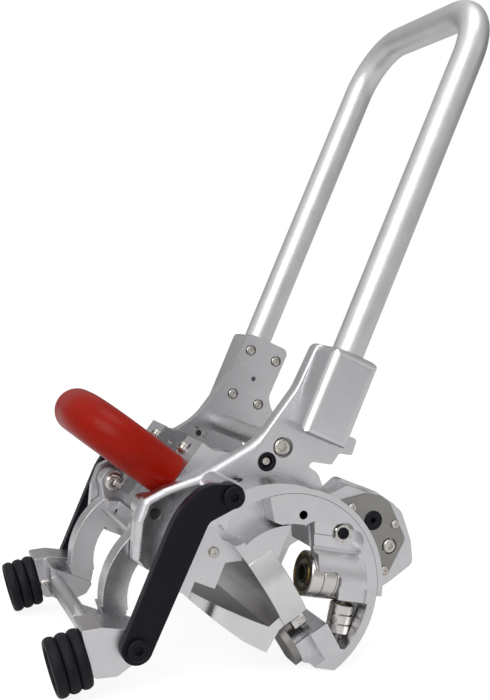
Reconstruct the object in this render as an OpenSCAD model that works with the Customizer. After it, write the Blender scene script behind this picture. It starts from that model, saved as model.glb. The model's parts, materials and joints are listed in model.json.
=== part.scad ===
// Cable trolley with a turning V gate, for a steel zip line cable.
// Shapes are drawn in the side frames' own plane (x to the right, z along the handle legs) about
// the drum centre, and placed() leans them over to the resting pose with the cable axis as origin.

/* [Handle] */
// Outside diameter of the handle tube
handle_tube_d = 25; // [18:0.5:32]
// Wall of the handle tube
handle_wall = 3; // [1.5:0.5:5]
// Distance between the two leg axes
handle_span = 193; // [180:1:206]
// Height of the crossbar axis over the drum centre
handle_rise = 489; // [380:1:560]
// Bend radius of the tube, at its axis
handle_bend_r = 48; // [40:1:70]

/* [Side frames] */
// Distance from the mid plane to the inner face of a side plate
plate_in = 70; // [64:1:74]
// Thickness of a side plate
plate_t = 12; // [8:1:14]
// Diameter of the upper tie rod
rod_d = 17; // [12:1:22]
// Diameter of the lower tie rod
low_rod_d = 14; // [10:1:18]
// Thickness of a handle socket outside its plate
socket_t = 33; // [30:1:38]

/* [Drum] */
// Radius of the drum rim about the drum centre
drum_r = 80; // [78:0.5:82]
// Radius of the fixed block, on which the gate rotor turns
seat_r = 74.7; // [73:0.1:76]
// Running gap between turning and fixed faces
run_gap = 0.3; // [0.2:0.05:0.5]
// Depth of the drum outside the side plate
drum_t = 36; // [34:1:40]
// Depth of the arc slot in the rotor face
slot_t = 18; // [12:1:20]
// Thickness of the upper guide fin
fin_t = 21; // [18:0.1:21.2]

/* [Rollers] */
// Outside diameter of a running bearing over the cable
run_od = 35; // [33:0.5:36]
// Width of one running bearing
run_w = 11; // [10:0.1:11.2]
// Outside diameter of a side bearing
side_od = 19; // [18:0.5:19.5]
// Width of one side bearing
side_w = 7.6; // [7:0.1:8]
// Diameter of the cable that the trolley runs on
cable_d = 12.7; // [10:0.1:13]

/* [Swing arms and buffers] */
// Thickness of a swing arm
arm_t = 18; // [12:1:19]
// Outside diameter of a rubber buffer
buffer_d = 44; // [34:1:46]
// Free length of a rubber buffer
buffer_l = 26; // [18:1:30]
// Width of a black link
link_w = 23; // [19:1:24]
// Thickness of a black link
link_t = 9; // [6:1:10]

/* [Red bar] */
// Outside diameter of the red bar
bar_d = 36; // [28:1:38]
// Distance between the two legs of the red bar
bar_span = 98; // [92:1:102]
// Reach of the red bar, from its brackets to its crossbar axis
bar_reach = 74; // [60:1:90]

/* [Hidden] */
$fn = 64;
eps = 0.01;

// colours
alloy = [0.78, 0.79, 0.80];
steel = [0.66, 0.65, 0.63];
dark_steel = [0.40, 0.38, 0.36];
black = [0.07, 0.07, 0.09];
red = [0.72, 0.09, 0.03];
rubber = [0.05, 0.05, 0.06];

// levels out from the mid plane
plate_out = plate_in + plate_t;
drum_in = plate_out + run_gap;
face = plate_out + drum_t;
slot_floor = face - slot_t;
low_face = face - 14;
link_in = face + run_gap;
link_out = link_in + link_t;
cover_out = plate_out + 12;
cover_plate_t = 3;
ring_in = cover_out + cover_plate_t + 3;
ring_r = 79.4;
socket_out = plate_out + socket_t;

// places in the side frame's plane
buf_turn = 217.3;
buf_at = [-111, -90];
jaw_tip = [67, -42];
// the part leans until its buffers and its jaw tips stand on one floor
buf_u = [cos(buf_turn), sin(buf_turn)];
buf_v = [-sin(buf_turn), cos(buf_turn)];
buf_low = buf_at + (buffer_l - 2.5) * buf_u + (buffer_d / 2 - 0.2) * buf_v;
lean = atan2(jaw_tip[1] - buf_low[1], jaw_tip[0] - buf_low[0]);
turn_c = [12, 2];
// gear frame: gear_u runs along the running bearings' axis, gear_w across it
gear_dir = 12;
gear_u = [cos(gear_dir), sin(gear_dir)];
gear_w = [-sin(gear_dir), cos(gear_dir)];
running_at = [47.7, 11.5];
function in_gear(u, w) = gear_u * u + gear_w * w;
cable_c = in_gear(running_at[0] - 4.2, running_at[1] - (run_od + cable_d) / 2);
arm_pivot = [-96, 19];
link_low = [-85, -69];
link_top = [-62, 54];
rod_c = [-20, 101];
low_rod_c = [91, 61];
bush_c = [69, 75];
grommet_c = [-28, 86];
leg_x = -6;
socket_x = [-25, 16];
socket_z = [117, 187];
socket_r = 8;
screw_at = [[-18, 173], [9, 173], [-18, 130], [9, 130]];

// fin frame: fin_p runs along the upper fin, fin_n across it
fin_turn = -35.6;
fin_p = [cos(fin_turn), sin(fin_turn)];
fin_n = [-sin(fin_turn), cos(fin_turn)];
fin_n0 = -6.2;
fin_s = [-28, 28.2];
low_fin_z = -26;
low_fin_x = [-61, 17];
hub_r = 79.2;
fin_crown = 6;
low_nose_r = 62;
fin_r = (pow(28.4, 2) + pow(fin_crown, 2)) / (2 * fin_crown);
function in_fin(s, n) = fin_p * s + fin_n * n;

// block, rollers and jaw
nut_c = [38, 58];
stack_d = plate_out + 18;
roll_d = stack_d - 3;
running_c = in_gear(running_at[0], running_at[1]);
side_c = [71, -4.2];
jaw_s = 39.8;
jaw_n = 7.6;
jaw_gap_s = 47.8;
jaw_rim_s = 71.5;
cheek_n = [-11.7, -6];
cheek_s = [31.6, 68];
open_d = low_face;
housing_r = 30;

// red bar
bar_foot = [-87, 46.9];
bar_tilt = 165.5;
flange_t = 10;
bar_bend_r = 40;
tab_y = [31, 44.6];

// swing arms, carriers, buffers and links
arm_in = 50;
arm_out = arm_in + arm_t;
arm_c = [-45, -32];
yoke_c = [-86, -2];
bar_c = [-107, -78];
carrier_in = 84;
buffer_y = 104;
rib = buffer_l / 3;
link_eye_r = 9.2;
bolt_head_r = 8;

// points of a closed outline whose corners [x, z, r] are rounded with radius r
function corner(a, b, c, r, n) =
    let (u = (a - b) / norm(a - b), v = (c - b) / norm(c - b), h = acos(u * v) / 2,
        t = r / tan(h), m = (u + v) / norm(u + v), o = b + m * r / sin(h),
        p = b + u * t - o, q = b + v * t - o, a0 = atan2(p[1], p[0]),
        sweep = ((atan2(q[1], q[0]) - a0 + 540) % 360) - 180)
    [for (i = [0:n]) o + r * [cos(a0 + sweep * i / n), sin(a0 + sweep * i / n)]];
function rounded(p, n = 5) =
    let (k = len(p))
    [for (i = [0:k - 1])
        let (a = p[(i + k - 1) % k], b = p[i], c = p[(i + 1) % k])
        each (len(b) < 3 || b[2] == 0 ? [[b[0], b[1]]]
            : corner([a[0], a[1]], [b[0], b[1]], [c[0], c[1]], b[2], n))];
function arc(c, r, a0, a1, n) =
    [for (i = [0:n]) let (a = a0 + (a1 - a0) * i / n) c + r * [cos(a), sin(a)]];

// leans the object to its resting pose and brings the cable axis to the origin
module placed() rotate([0, lean, 0]) translate([-cable_c[0], 0, -cable_c[1]]) children();
// a flat outline carried from level d0 to level d1 on the front side
module slab(d0, d1) translate([0, -d0, 0]) rotate([90, 0, 0]) linear_extrude(d1 - d0) children();
// front side as drawn, rear side mirrored
module rear_side() mirror([0, 1, 0]) children();
module both_sides() {
    children();
    mirror([0, 1, 0]) children();
}
// a round bar along the front side's outward direction
module round_bar(c, r, d0, d1) translate([c[0], -d0, c[1]]) rotate([90, 0, 0]) cylinder(r = r, h = d1 - d0);
module at_plane(c) translate([c[0], c[1]]) children();
// a button head screw: head outward from level d, shank inward
module button_screw(c, head_r, head_t, shank_r, shank_l, d) {
    difference() {
        union() {
            round_bar(c, head_r, d, d + head_t * 0.55);
            translate([c[0], -d - head_t * 0.55, c[1]]) rotate([90, 0, 0])
                cylinder(r1 = head_r, r2 = head_r * 0.62, h = head_t * 0.45);
            round_bar(c, shank_r, d - shank_l, d + eps);
        }
        translate([c[0], -d - head_t + head_t * 0.55, c[1]]) rotate([90, 0, 0])
            cylinder(r = head_r * 0.42, h = head_t, $fn = 6);
    }
}
// the same, facing the mid plane: head inward from level d
module inner_screw(c, head_r, head_t, shank_r, shank_l, d)
    translate([0, -2 * d, 0]) mirror([0, 1, 0]) button_screw(c, head_r, head_t, shank_r, shank_l, d);

// ---------------------------------------------------------------- handle and sockets
module tube_path(r) {
    b = handle_bend_r;
    y = handle_span / 2;
    for (s = [-1, 1]) {
        translate([leg_x, s * y, socket_z[0] + 4]) cylinder(r = r, h = handle_rise - b - socket_z[0] - 4);
        translate([leg_x, s * (y - b), handle_rise - b]) rotate([90, 0, s * 90])
            rotate_extrude(angle = 90) translate([b, 0]) circle(r = r);
    }
    translate([leg_x, -(y - b), handle_rise]) rotate([-90, 0, 0]) cylinder(r = r, h = 2 * (y - b));
}
module u_handle() color(alloy) placed() difference() {
    tube_path(handle_tube_d / 2);
    tube_path(handle_tube_d / 2 - handle_wall);
}
module socket() difference() {
    intersection() {
        slab(plate_out, socket_out) polygon(rounded([
            [socket_x[0], socket_z[0], 6], [socket_x[1], socket_z[0], 6],
            [socket_x[1], socket_z[1], socket_r], [socket_x[0], socket_z[1], socket_r]]));
        translate([0, 0, socket_z[0] - 1]) linear_extrude(socket_z[1] - socket_z[0] + 2) polygon(rounded([
            [socket_x[0], 0, 0], [socket_x[0], -socket_out, socket_r],
            [socket_x[1], -socket_out, socket_r], [socket_x[1], 0, 0]]));
        translate([socket_x[0] - 1, 0, 0]) rotate([90, 0, 90]) linear_extrude(50) polygon(rounded([
            [0, socket_z[0]], [-socket_out, socket_z[0], 5], [-socket_out, socket_z[1], socket_r],
            [0, socket_z[1]]]));
    }
    translate([leg_x, -handle_span / 2, socket_z[0] + 4]) cylinder(r = handle_tube_d / 2 + 0.05, h = 100);
    for (c = screw_at) round_bar(c, 2.6, plate_out - 1, plate_out + 9);
}
module socket_front() color(alloy) placed() socket();
module socket_rear() color(alloy) placed() rear_side() socket();
module socket_screws() color(steel) placed() both_sides()
    for (c = screw_at) inner_screw(c, 4.75, 3, 2.55, 14, plate_in + 3);

// ---------------------------------------------------------------- side plates
plate_left = [
    [-26, 187, 6], [-28, 148, 40], [-41, 98, 60], [-74, 57, 30], [-97, 38, 8], [-108, 26, 7],
    [-107, 8, 12], [-101, -10, 8], [-97, -20, 5], [-80, -22, 3], [-60, -16, 0], [0, 0, 0]];
plate_right = [
    [60, 0, 0], [92, 0, 0], [93, 20, 6], [108, 38, 12], [122, 56, 6], [112, 73, 8], [92, 93, 14],
    [70, 97, 20], [36, 96, 6], [28.5, 82, 3], [13, 86, 7], [4.5, 98.5, 3.5], [24.5, 103, 2.5], [27, 113.5, 2.5],
    [38, 116, 2], [37, 130, 3], [25, 128, 10], [16, 140, 10], [17, 187, 6]];
module drum_opening() {
    at_plane(turn_c) difference() {
        circle(r = hub_r + run_gap);
        polygon(concat([[0, 0]], arc([0, 0], 200, -100, 100, 4)));
    }
}
module plate_outline() difference() {
    union() {
        polygon(rounded(concat(plate_left, plate_right)));
        fixed_outline();
    }
    drum_opening();
    cable_cavity();
    polygon([[-60, -60], [20, -60], [20, 0], [-60, 0]]);
}
module side_plate() difference() {
    slab(plate_in, plate_out) plate_outline();
    for (c = screw_at) {
        round_bar(c, 5.1, plate_in - 1, plate_in + 3.1);
        round_bar(c, 2.6, plate_in - 1, plate_out + 1);
    }
    round_bar([-5, 150], 2.2, plate_in - 1, plate_out - 2);
    round_bar(rod_c, 8.2, plate_out - 5, plate_out + 1);
    round_bar(rod_c, 4.05, plate_in - 1, plate_out + 1);
    round_bar(low_rod_c, 4.05, plate_in - 1, plate_out + 1);
    round_bar(grommet_c, 7.6, plate_out - 4, plate_out + 1);
    round_bar(grommet_c, 2.55, plate_in - 1, plate_out + 1);
    round_bar([-38, 88], 2.5, plate_in - 1, plate_in + 6);
    round_bar(arm_pivot, 5.05, plate_in - 1, plate_out + 1);
}
module side_plate_front() color(alloy) placed() side_plate();
module side_plate_rear() color(alloy) placed() rear_side() side_plate();
module upper_tie_rod() color(alloy) placed() difference() {
    round_bar(rod_c, rod_d / 2, -plate_in, plate_in);
    for (d = [-plate_in, plate_in]) round_bar(rod_c, 4.05, d - 12, d + 12);
}
module tie_rod_screws() color(steel) placed() both_sides()
    button_screw(rod_c, 8, 5, 4, 16, plate_out - 5);
module lower_tie_rod() color(alloy) placed() difference() {
    round_bar(low_rod_c, low_rod_d / 2, -plate_in, plate_in);
    for (d = [-plate_in, plate_in]) round_bar(low_rod_c, 4.05, d - 12, d + 12);
}
module lower_rod_screws() color(steel) placed() both_sides()
    button_screw(low_rod_c, 5.6, 4, 4, 32, cover_out + 0.5);
module frame_grommets() color(rubber) placed() both_sides() difference() {
    round_bar(grommet_c, 7.5, plate_out - 4, plate_out + 1.2);
    round_bar(grommet_c, 4.2, plate_out - 5, plate_out + 2);
}
module grommet_screws() color(steel) placed() both_sides()
    button_screw(grommet_c, 4.1, 3, 2.5, 8, plate_out - 4);

// ---------------------------------------------------------------- end covers
cover_edge = [
    [22, 0, 0], [92, 0, 0], [93, 20, 6], [106, 36, 12], [119, 55, 6], [110, 71, 8], [91, 91, 14],
    [70, 94, 20], [38, 93, 6], [27, 82, 4], [18, 79, 0]];
cover_face = concat([
    [38.1, 80.5, 1], [57.1, 93.1, 6], [67.7, 95.4, 8], [77.2, 93, 8], [102.5, 71.1, 6], [99, 38.5, 4],
    [91.5, 36.8, 4], [88, 45, 3]], arc(turn_c, 77, 35, 69, 6));
cover_screw_at = [[47, 78.5], [88.3, 78.7], [94.5, 42]];
module cover_body() difference() {
    slab(plate_out, cover_out) difference() {
        polygon(rounded(cover_edge));
        at_plane(turn_c) circle(r = seat_r + run_gap);
        translate([0, -50]) square([200, 60]);
    }
    for (c = cover_screw_at) round_bar(c, 2.05, cover_out - 8, cover_out + 1);
    round_bar(low_rod_c, 4.1, plate_out - 1, cover_out + 1);
    round_bar(bush_c, 6, cover_out - 6, cover_out + 1);
}
module cover_body_front() color(alloy) placed() cover_body();
module cover_body_rear() color(alloy) placed() rear_side() cover_body();
module cover_plate() difference() {
    slab(cover_out, cover_out + cover_plate_t) polygon(rounded(cover_face));
    round_bar(low_rod_c, 6.5, cover_out - 1, cover_out + 5);
    round_bar(bush_c, 7.6, cover_out - 1, cover_out + 5);
    for (c = cover_screw_at) round_bar(c, 2.05, cover_out - 1, cover_out + 5);
}
module cover_plate_front() color(dark_steel) placed() cover_plate();
module cover_plate_rear() color(dark_steel) placed() rear_side() cover_plate();
module cover_screws() color(steel) placed() both_sides()
    for (c = cover_screw_at) button_screw(c, 3.3, 2.2, 2, 9, cover_out + cover_plate_t);
module cover_bushes() color(black) placed() both_sides() difference() {
    union() {
        round_bar(bush_c, 7.5, cover_out, cover_out + cover_plate_t + 1);
        round_bar(bush_c, 5.9, cover_out - 6, cover_out + eps);
    }
    round_bar(bush_c, 2.3, cover_out - 7, cover_out + 6);
}

// ---------------------------------------------------------------- fixed block
module wedge(a0, a1) polygon(concat([[0, 0]], arc([0, 0], 150, a0, a1, 8)));
module jaw_end() {
    n = cheek_n[1] + 0.1;
    polygon([jaw_tip, in_fin(cheek_s[1], n), in_fin(20, n), [10, -90], [110, -90], [98, -37]]);
    polygon([in_fin(20, -20), in_fin(jaw_gap_s, -20), in_fin(jaw_gap_s, jaw_n), in_fin(20, jaw_n)]);
}
// what cable, bearings and jaw leave open: behind the face, and in the face itself
open_left = [[-60, 45, 0], [3.4, 48.4, 2], [6, 55, 3], [11.2, 59.4, 1.5]];
open_jaw = [
    [71.4, -24, 0], [58.5, -14, 1], [52.5, -9.2, 1], [44.4, -19.6, 1], [20, -40, 0], [-60, -40, 0]];
module cable_cavity() polygon(rounded(concat(
    open_left, [concat(in_gear(29, 33), 3), concat(in_gear(66, 31), 3), concat(in_gear(66, -5), 1)],
    arc(turn_c, 69.5, 8.3, -22, 8), open_jaw)));
module face_opening() polygon(rounded(concat(
    open_left, [[30.4, 24.7, 1], [44.5, 28.8, 4], [50.3, 26, 4], [54.7, 9.6, 0.5]],
    arc(turn_c, 68, 10.8, -22, 8), open_jaw)));
module fixed_outline() difference() {
    at_plane(turn_c) intersection() {
        circle(r = seat_r);
        wedge(-60, 98);
    }
    jaw_end();
}
module block_solid() {
    slab(plate_out, open_d) difference() {
        fixed_outline();
        cable_cavity();
    }
    slab(open_d - eps, face) difference() {
        fixed_outline();
        face_opening();
    }
    // overhanging tongue that lies in the rotor's arc slot
    slab(slot_floor + run_gap, face) difference() {
        at_plane(turn_c) intersection() {
            circle(r = seat_r);
            wedge(90, 125);
        }
        at_plane(turn_c) circle(r = 52);
        face_opening();
    }
}
// what is taken off the face over the bearings: steps, then a round housing, then a shelf;
// the points are [across the bearings, level], carried along the bearings' axis
ridge_steps = [
    [55.6, 2], [55.6, -2.5], [46, -3.5], [44.8, -5.2], [36, -6.5], [35.4, -8], [33, -9]];
ridge_shelf = [[8.3, -1.7], [-3, -1.7], [-3, 2]];
module ridges() intersection() {
    slab(face - 12, face + 1) intersection() {
        at_plane(turn_c) circle(r = 66);
        polygon([
            in_gear(22, 60), [11.2, 59.4], [30.4, 24.7], in_gear(35, -10), in_gear(90, -10), in_gear(90, 60)]);
    }
    rotate([0, 90 - gear_dir, 0]) linear_extrude(100) polygon([
        for (q = concat(ridge_steps, arc([running_at[1], -housing_r], housing_r, 44.5, 96, 10), ridge_shelf))
            [-q[0], -face - q[1]]]);
}
module block() difference() {
    block_solid();
    round_bar([0, 60], 3.4, face - 14, face + 1);
    // nut pocket with three scallops
    for (c = [nut_c, nut_c + [10, -3], nut_c + [9, -9]]) round_bar(c, 8.6, face - 7, face + 1);
    round_bar(nut_c, 4.55, face - 24, face + 1);
    ridges();
    // room for the bearings and seats for their pins
    running_place() cylinder(r = run_od / 2 + 0.6, h = 3 * run_w + 0.6, center = true);
    side_place() cylinder(r = side_od / 2 + 0.6, h = 3 * side_w + 1, center = true);
    running_place() cylinder(r = 7.55, h = 3 * run_w / 2 + 5.1);
    side_place() cylinder(r = 3.05, h = 3 * side_w + 14, center = true);
    // the jaw's lower half is set back and turned out round the cheek
    jaw_place() {
        translate([8.2, 12.6, cheek_n[0]]) cylinder(r = 21, h = jaw_n - cheek_n[0]);
        translate([0, -(face - stack_d) - 1, cheek_n[0]])
            cube([jaw_rim_s - jaw_s, 11, jaw_n - cheek_n[0]]);
    }
}
module fixed_block_front() color(alloy) placed() block();
module fixed_block_rear() color(alloy) placed() rear_side() block();
module block_studs() color(black) placed() both_sides() round_bar(nut_c, 4.5, face - 22, face - 0.5);
module block_nuts() color(steel) placed() both_sides() difference() {
    translate([nut_c[0], -face + 7, nut_c[1]]) rotate([90, 0, 0]) cylinder(r = 7.5, h = 5, $fn = 6);
    round_bar(nut_c, 4.55, face - 9, face);
}

// ---------------------------------------------------------------- rollers
module running_place()
    translate([running_c[0], -roll_d, running_c[1]]) rotate([0, 90 - gear_dir, 0]) children();
module side_place() translate([side_c[0], -stack_d, side_c[1]]) rotate([0, -gear_dir, 0]) children();
module jaw_place()
    translate([fin_p[0] * jaw_s, -stack_d, fin_p[1] * jaw_s]) rotate([0, -fin_turn, 0]) children();
module bearing(od, bore, w) difference() {
    rotate_extrude() polygon([
        [bore / 2, -w / 2], [od / 2 - 0.8, -w / 2], [od / 2, -w / 2 + 0.8],
        [od / 2, w / 2 - 0.8], [od / 2 - 0.8, w / 2], [bore / 2, w / 2]]);
    for (s = [-1, 1]) translate([0, 0, s * w / 2]) rotate_extrude()
        translate([od * 0.34, 0]) square([od * 0.11, 1], center = true);
}
module running_set() running_place() for (i = [-1:1]) translate([0, 0, i * run_w])
    bearing(run_od, 15.1, run_w - 0.3);
module side_set() side_place() for (i = [-1:1]) translate([0, 0, i * side_w])
    bearing(side_od, 6.1, side_w - 0.3);
module running_rollers_front() color(steel) placed() running_set();
module running_rollers_rear() color(steel) placed() rear_side() running_set();
module running_axles() color(black) placed() both_sides() running_place() difference() {
    translate([0, 0, -3 * run_w / 2 - 2]) cylinder(r = 7.5, h = 3 * run_w + 7);
    translate([0, 0, -3 * run_w / 2 - 7]) cylinder(r = 4, h = 9, $fn = 6);
}
module side_rollers_front() color(steel) placed() side_set();
module side_rollers_rear() color(steel) placed() rear_side() side_set();
module side_roller_pins() color(dark_steel) placed() both_sides() side_place()
    cylinder(r = 3, h = 3 * side_w + 13, center = true);
module jaw_roller() jaw_place() rotate_extrude() polygon([
    [2.6, 1.5], [5.6, 1.5], [6.3, 2.5], [6.3, 12.5], [5.6, 13.5], [2.6, 13.5]]);
module jaw_roller_front() color(steel) placed() jaw_roller();
module jaw_roller_rear() color(steel) placed() rear_side() jaw_roller();
module jaw_pins() color(dark_steel) placed() both_sides() jaw_place() union() {
    translate([0, 0, -11.5]) cylinder(r = 2.5, h = 24.5);
    translate([0, 0, cheek_n[1] + 0.1]) cylinder(r = 4, h = 7.1);
}
module jaw_cheek() jaw_place() difference() {
    intersection() {
        translate([cheek_s[0] - jaw_s, -16, cheek_n[0]])
            cube([cheek_s[1] - cheek_s[0], 32, cheek_n[1] - cheek_n[0]]);
        translate([10, 4, cheek_n[0] - 1]) cylinder(r = 20, h = 8);
    }
    translate([0, 0, -12]) cylinder(r = 2.55, h = 8);
    translate([12, 0, -12]) cube([13, 3.4, 4], center = true);
}
module jaw_cheeks() color(dark_steel) placed() both_sides() jaw_cheek();

// ---------------------------------------------------------------- red bar
module bar_place() translate([bar_foot[0], 0, bar_foot[1]]) rotate([0, -bar_tilt, 0]) children();
// the two screws of a bracket, square to its face
module screw_spots() bar_place() {
    translate([0, -bar_span / 2, -28]) rotate([0, 90, 0]) children();
    translate([0, -39.2, 24.5]) rotate([0, 90, 0]) children();
}
module bracket() difference() {
    union() {
        slab(plate_in - 20, plate_in) polygon(rounded([
            [-77, 76, 3], [-44, 84, 8], [-50, 55, 8], [-74, 36, 4], [-87, 34, 2]]));
        bar_place() translate([-flange_t, -plate_in, -35]) cube([flange_t, plate_in - tab_y[0], 48]);
        bar_place() translate([-flange_t, -tab_y[1], 0]) cube([flange_t, tab_y[1] - tab_y[0], 31]);
    }
    screw_spots() cylinder(r = 2.6, h = 40, center = true);
}
module bar_bracket_front() color(alloy) placed() bracket();
module bar_bracket_rear() color(alloy) placed() rear_side() bracket();
module red_bar() color(red) placed() bar_place() difference() {
    bar_body(bar_d / 2);
    bar_body(bar_d / 2 - 3);
}
module bar_body(r) {
    y = bar_span / 2;
    l = bar_reach - bar_bend_r;
    for (s = [-1, 1]) {
        translate([0, s * y, 0]) rotate([0, 90, 0]) cylinder(r = r, h = l + eps);
        translate([l, s * (y - bar_bend_r), 0]) rotate([0, 0, s > 0 ? 0 : -90])
            rotate_extrude(angle = 90) translate([bar_bend_r, 0]) circle(r = r);
    }
    translate([bar_reach, -(y - bar_bend_r), 0]) rotate([-90, 0, 0]) cylinder(r = r, h = 2 * (y - bar_bend_r));
}
module bracket_screws() color(steel) placed() both_sides() screw_spots() union() {
    cylinder(r = 5.2, h = 1.2);
    translate([0, 0, 1.2]) cylinder(r1 = 4.2, r2 = 2.6, h = 2.6);
    translate([0, 0, -9]) cylinder(r = 2.55, h = 9.1);
}

// ---------------------------------------------------------------- gate rotor and guide fins
module right_of_rotor(a) {
    polygon(concat([[-6, -120]], [[-6, 48]], [turn_c + 160 * [cos(a), sin(a)]], [[220, 160], [220, -120]]));
}
module v_channel() polygon([
    in_fin(fin_s[0], fin_n0), [-38, 5.5], [-38, -15], [-55, -15], [-55, low_fin_z], [-40, -120], [120, -120],
    [120, -90], [26, low_fin_z]]);
module fin_section(n0, n1) polygon([
    in_fin(fin_s[0], n0), in_fin(fin_s[1], n0), in_fin(fin_s[1], n1), in_fin(fin_s[0], n1)]);
module rotor_outline(a) difference() {
    circle(r = drum_r);
    right_of_rotor(a);
    v_channel();
    polygon([[-120, low_fin_z], [60, low_fin_z], [60, -120], [-120, -120]]);
    fin_section(fin_n0, fin_n0 + fin_t);
}
module crescent(a0) difference() {
    intersection() {
        circle(r = drum_r);
        at_plane(turn_c) wedge(a0, 150);
    }
    at_plane(turn_c) circle(r = seat_r + run_gap);
}
module rotor() difference() {
    union() {
        slab(plate_in, plate_out + 1) intersection() {
            rotor_outline(112);
            at_plane(turn_c) circle(r = hub_r);
        }
        slab(drum_in, low_face) rotor_outline(112);
        slab(low_face - eps, face) difference() {
            rotor_outline(112);
            polygon([
                [-90, 34], [-68, 28], [-62.6, 28.2], [-59.2, 32.1], [-40.4, 19.6], [-24.2, 10.1], [-20, -8],
                [-20, -60], [-120, -60], [-120, 34]]);
        }
        slab(drum_in, face) crescent(96);
        slab(cover_out + 2, face) crescent(81);
        // ring that runs on over the cover
        slab(ring_in, face) at_plane(turn_c) difference() {
            intersection() {
                circle(r = ring_r);
                wedge(16, 100);
            }
            circle(r = seat_r + run_gap);
        }
        slab(drum_in, face) at_plane(link_top) circle(r = link_w / 2 - 0.5);
    }
    slab(slot_floor, face + 1) at_plane(turn_c) difference() {
        intersection() {
            circle(r = seat_r + run_gap);
            wedge(70, 154);
        }
        circle(r = 52 - 1);
    }
    slab(slot_floor, face + 1) at_plane(turn_c + 63 * [cos(154), sin(154)]) circle(r = 9);
    round_bar(link_top, 4.5, face - 20, face + 1);
    round_bar([-50, 10], 2.05, low_face - 10, low_face + 1);
}
module gate_rotor_front() color(alloy) placed() rotor();
module gate_rotor_rear() color(alloy) placed() rear_side() rotor();
module upper_guide_fin() color(alloy) placed() intersection() {
    translate([0, face + 20, 0]) rotate([90, 0, 0]) linear_extrude(2 * face + 40)
        fin_section(fin_n0, fin_n0 + fin_t);
    rotate([0, -fin_turn, 0]) translate([0.4, 0, 0]) union() {
        translate([-60, -face, -60]) cube([120, 2 * face, 120]);
        for (s = [-1, 1]) translate([0, s * (face + fin_crown - fin_r), 0])
            cylinder(r = fin_r, h = 120, center = true, $fn = 128);
    }
}
module lower_guide_fin() color(alloy) placed() intersection() {
    translate([0, face, 0]) rotate([90, 0, 0]) linear_extrude(2 * face) difference() {
        polygon([
            [low_fin_x[0], low_fin_z], [8, low_fin_z], in_fin(20, 0), in_fin(fin_s[1], 0),
            [low_fin_x[1], low_fin_z], [low_fin_x[1] - 3, -44.5], [-6, -42.5], [-28, -37], [-48, -31]]);
        fin_section(fin_n0, fin_n0 + fin_t);
    }
    union() {
        cube([400, 2 * plate_out, 400], center = true);
        for (s = [-1, 1]) translate([10, s * (face - low_nose_r), 0])
            cylinder(r = low_nose_r, h = 400, center = true, $fn = 128);
    }
}
module fin_screws() color(steel) placed() both_sides() button_screw([-50, 10], 4, 2.4, 2, 9, low_face);
module rotor_pins() color(black) placed() both_sides() difference() {
    union() {
        round_bar(link_top, 4.5, face - 18, link_out + run_gap + eps);
        round_bar(link_top, bolt_head_r, link_out + run_gap, link_out + 4);
    }
    translate([link_top[0], -link_out - 1.5, link_top[1]]) rotate([90, 0, 0]) cylinder(r = 3.4, h = 5, $fn = 6);
}

// ---------------------------------------------------------------- swing arms and carrier
module arm_outline() union() {
    at_plane(arm_pivot) circle(r = 10.5);
    at_plane(arm_c) difference() {
        circle(r = 63);
        circle(r = 44);
        wedge(-146, 140);
        translate([-100, -100 - 35]) square([200, 100]);
    }
    polygon(rounded([[-105, 15, 0], [-97, 0, 10], [-93.5, -10, 0], [-78, -7, 0], [-79, 4, 8], [-87, 22, 0]]));
    polygon([[-104, -60], [-98, -67], [-80, -67], [-82, -58]]);
}
module arm() difference() {
    slab(arm_in, arm_out) arm_outline();
    round_bar(arm_pivot, 5.05, arm_in - 1, arm_out + 1);
    round_bar(yoke_c, 3.05, arm_in - 1, arm_out + 1);
}
module arm_front() color(alloy) placed() arm();
module arm_rear() color(alloy) placed() rear_side() arm();
module arm_yoke() color(alloy) placed() difference() {
    slab(-arm_in, arm_in) polygon(rounded([
        [-98, 4, 4], [-96, -9, 6], [-80, -10, 6], [-76, 0, 6], [-84, 8, 4]]));
    slab(-arm_in + 14, arm_in - 14) polygon([[-100, 12], [-100, -3], [-88, -3], [-88, 12]]);
    for (s = [-1, 1]) translate([0, s * arm_in, 0]) round_bar(yoke_c, 3.05, -14, 14);
}
module arm_pivot_screws() color(steel) placed() both_sides() union() {
    round_bar(arm_pivot, 8, arm_in - 5, arm_in - run_gap);
    round_bar(arm_pivot, 5, arm_in - run_gap - eps, plate_out - 1);
}
module yoke_screws() color(steel) placed() both_sides() round_bar(yoke_c, 3, arm_in - 12, arm_out);
module carrier() difference() {
    union() {
        slab(carrier_in, face) carrier_outline();
        slab(arm_in, carrier_in + eps) polygon(rounded([
            [-118, -67, 2], [-78, -67, 3], [-80, -78, 3], [-92, -89, 3], [-106, -90, 3]]));
    }
    round_bar(link_low, 4.95, face - 16, face + 1);
    round_bar(bar_c, 2.55, arm_in - 1, arm_in + 16);
}
module carrier_outline() union() {
    at_plane(link_low) circle(r = link_w / 2);
    polygon(rounded([
        concat(buf_at - 24 * buf_v, 2), concat(buf_at + 12 * buf_v, 4),
        [-88, -93, 3], [-77, -77, 0], [-85, -57.6, 0], [-112, -64, 3]]));
}
module carrier_front() color(alloy) placed() carrier();
module carrier_rear() color(alloy) placed() rear_side() carrier();
module carrier_bar() color(alloy) placed() difference() {
    round_bar(bar_c, 7, -arm_in, arm_in);
    for (d = [-arm_in, arm_in]) round_bar(bar_c, 2.55, d - 14, d + 14);
}
module carrier_screws() color(steel) placed() both_sides() round_bar(bar_c, 2.5, arm_in - 12, arm_in + 14);
module carrier_pins() color(black) placed() both_sides() difference() {
    union() {
        round_bar(link_low, 4.9, face - 15, link_out + run_gap + eps);
        round_bar(link_low, bolt_head_r, link_out + run_gap, link_out + 4);
    }
    translate([link_low[0], -link_out - 1.5, link_low[1]]) rotate([90, 0, 0]) cylinder(r = 3.4, h = 5, $fn = 6);
}
module buffer_place() translate([buf_at[0], -buffer_y, buf_at[1]]) rotate([0, 90 - buf_turn, 0]) children();
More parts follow.
